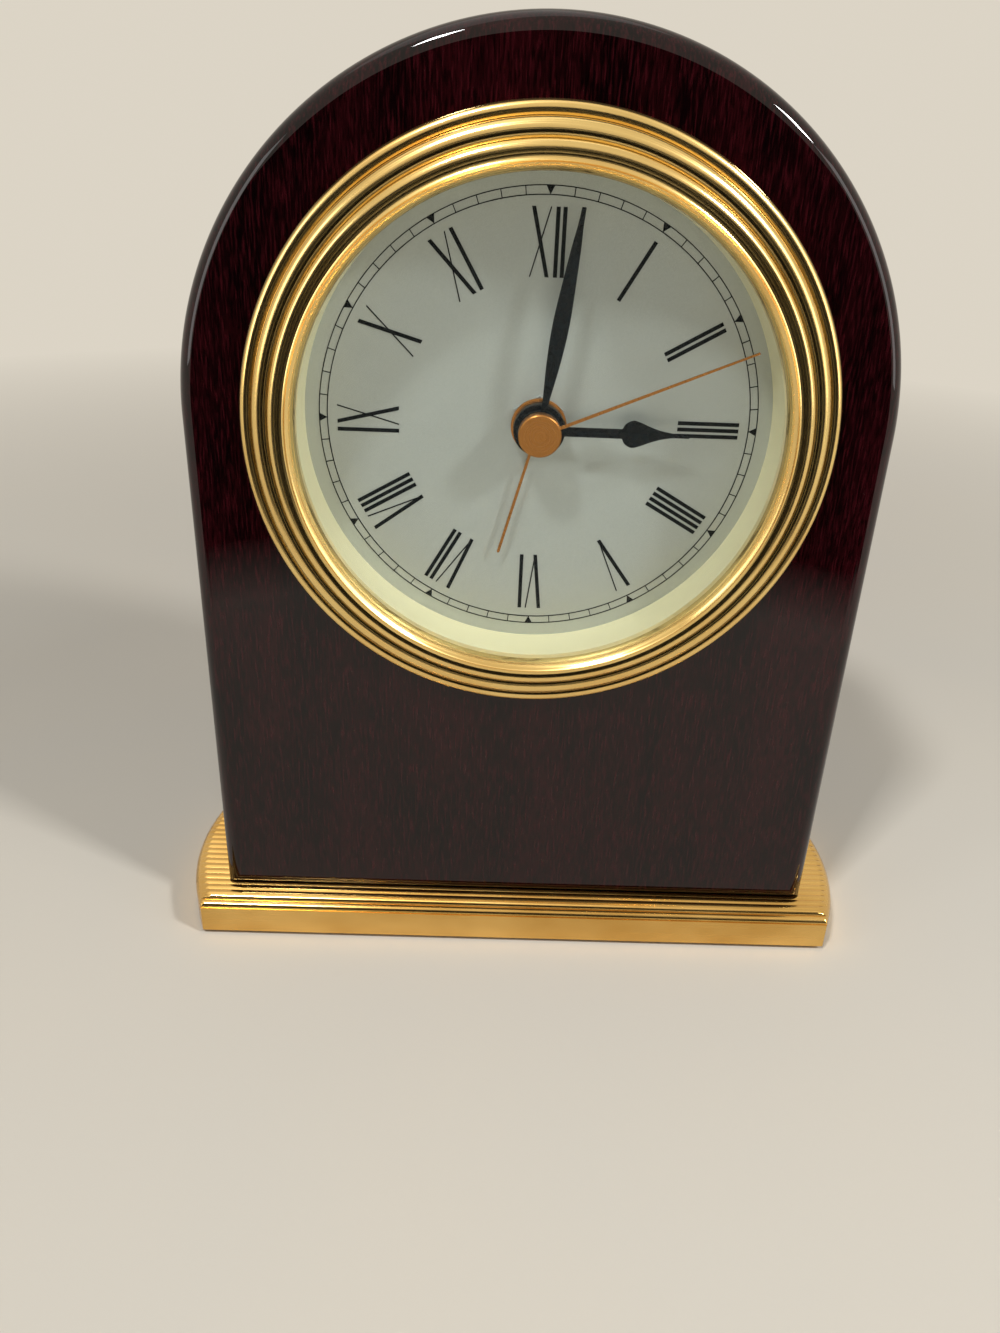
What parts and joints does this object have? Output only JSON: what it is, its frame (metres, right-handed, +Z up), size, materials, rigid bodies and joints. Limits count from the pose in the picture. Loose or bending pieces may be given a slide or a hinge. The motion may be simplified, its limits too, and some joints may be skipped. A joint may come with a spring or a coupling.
{
  "type": "beehive shelf clock",
  "caption": "Arched table alarm clock: lacquered wood case on a moulded brass base, brass bezel, Roman dial, hands and a quartz alarm movement with setting knobs.",
  "frame": {"origin": "middle of the felt's underside, on the surface that the clock stands on", "axes": "+Z up, +Y towards the back of the clock, +X to the right of someone who faces the dial"},
  "size_m": [0.1114, 0.0349, 0.1338],
  "materials": {
    "lacquered_wood": "gloss lacquer",
    "gilt_brass": "polished, lacquered",
    "felt": "matt felt",
    "steel": "plain, zinc plated",
    "spring_steel": "nickel plated",
    "clear_glass": "polished",
    "cream_plastic": "satin moulded",
    "dial_silver": "satin silver lacquer",
    "dial_ink": "printed ink",
    "black_plastic": "fine spark-eroded texture",
    "black_rubber": "matt",
    "plate_plastic": "moulded grey",
    "gear_plastic": "moulded white acetal",
    "black_hand": "blue-black lacquer",
    "copper_gold": "satin plated",
    "copper_wire": "enamelled copper wire",
    "soft_iron": "plain",
    "magnet": "sintered",
    "board": "solder mask",
    "chip_plastic": "moulded epoxy",
    "cell_jacket": "plain printed jacket"
  },
  "bodies": {
    "clock": {"wood_case": "lacquered_wood", "base_plate": "gilt_brass", "felt_sheet": "felt", "base_screws": "steel", "bezel": "gilt_brass", "crystal": "clear_glass", "flange_ring": "cream_plastic", "dial": "dial_silver", "dial_print": "dial_ink", "insert_can": "black_plastic", "grip_band": "black_rubber", "rear_cover": "black_plastic", "cover_screws": "steel", "battery": "cell_jacket", "positive_contact": "spring_steel", "negative_contact": "spring_steel", "front_plate": "plate_plastic", "dial_nut": "steel", "middle_plate": "plate_plastic", "train_plate": "plate_plastic", "plate_pillars": "steel", "plate_screws": "steel", "stator": "soft_iron", "coil_core": "soft_iron", "coil_bobbin": "gear_plastic", "coil_winding": "copper_wire", "circuit_board": "board", "chip": "chip_plastic", "quartz_resonator": "spring_steel", "buzzer": "black_plastic", "alarm_contact": "spring_steel"},
    "battery_door": {"battery_door": "black_plastic"},
    "alarm_switch": {"alarm_switch": "black_plastic"},
    "minute_shaft": {"cannon_pinion": "gear_plastic", "minute_hand": "black_hand"},
    "hour_shaft": {"hour_wheel": "gear_plastic", "hour_hand": "black_hand"},
    "reduction": {"reduction_wheel": "gear_plastic"},
    "time_setting": {"time_set_arbor": "gear_plastic", "time_set_knob": "black_plastic"},
    "second_shaft": {"second_wheel": "gear_plastic", "second_cap": "copper_gold", "second_hand": "copper_gold"},
    "third": {"third_wheel": "gear_plastic"},
    "centre": {"centre_wheel": "gear_plastic"},
    "intermediate": {"intermediate_wheel": "gear_plastic"},
    "rotor": {"rotor_pinion": "gear_plastic", "rotor_magnet": "magnet"},
    "alarm_shaft": {"alarm_wheel": "gear_plastic", "alarm_hand": "copper_gold"},
    "alarm_setting": {"alarm_set_arbor": "gear_plastic", "alarm_set_knob": "black_plastic"}
  },
  "joints": [
    {"name": "minute_turn", "type": "hinge", "parent": "clock", "child": "minute_shaft", "pos_m": [0, -0.0068, 0.0847], "axis": [0, 1, 0], "continuous": true},
    {"name": "hour_turn", "type": "hinge", "parent": "clock", "child": "hour_shaft", "pos_m": [0, -0.0068, 0.0847], "axis": [0, 1, 0], "continuous": true},
    {"name": "reduction_turn", "type": "hinge", "parent": "clock", "child": "reduction", "pos_m": [-0.0075, -0.0068, 0.0847], "axis": [0, 1, 0], "continuous": true},
    {"name": "time_knob_turn", "type": "hinge", "parent": "clock", "child": "time_setting", "pos_m": [-0.015, -0.0068, 0.0847], "axis": [0, 1, 0], "continuous": true},
    {"name": "second_turn", "type": "hinge", "parent": "clock", "child": "second_shaft", "pos_m": [0, -0.0068, 0.0847], "axis": [0, 1, 0], "continuous": true},
    {"name": "third_turn", "type": "hinge", "parent": "clock", "child": "third", "pos_m": [0.005, -0.0068, 0.08988], "axis": [0, 1, 0], "continuous": true},
    {"name": "centre_turn", "type": "hinge", "parent": "clock", "child": "centre", "pos_m": [0, -0.0068, 0.0847], "axis": [0, 1, 0], "continuous": true},
    {"name": "intermediate_turn", "type": "hinge", "parent": "clock", "child": "intermediate", "pos_m": [-0.00515, -0.0068, 0.08985], "axis": [0, 1, 0], "continuous": true},
    {"name": "rotor_turn", "type": "hinge", "parent": "clock", "child": "rotor", "pos_m": [-0.00515, -0.0068, 0.09465], "axis": [0, 1, 0], "continuous": true},
    {"name": "alarm_turn", "type": "hinge", "parent": "clock", "child": "alarm_shaft", "pos_m": [0, -0.0068, 0.0847], "axis": [0, 1, 0], "continuous": true},
    {"name": "alarm_knob_turn", "type": "hinge", "parent": "clock", "child": "alarm_setting", "pos_m": [0.015, -0.0068, 0.0847], "axis": [0, 1, 0], "continuous": true},
    {"name": "switch_slide", "type": "slide", "parent": "clock", "child": "alarm_switch", "axis": [1, 0, 0], "range_m": [-0.002, 0.002]},
    {"name": "door_hinge", "type": "hinge", "parent": "clock", "child": "battery_door", "pos_m": [0, 0.0099, 0.0652], "axis": [-1, 0, 0], "range_deg": [0, 95]}
  ],
  "couplings": [
    {"joint": "hour_turn", "follows": "minute_turn", "ratio": 0.083333},
    {"joint": "reduction_turn", "follows": "minute_turn", "ratio": -0.33333},
    {"joint": "time_knob_turn", "follows": "minute_turn", "ratio": 1},
    {"joint": "third_turn", "follows": "second_turn", "ratio": -0.13333},
    {"joint": "centre_turn", "follows": "second_turn", "ratio": 0.016667},
    {"joint": "intermediate_turn", "follows": "second_turn", "ratio": -6},
    {"joint": "rotor_turn", "follows": "second_turn", "ratio": 30},
    {"joint": "alarm_knob_turn", "follows": "alarm_turn", "ratio": -4}
  ]
}
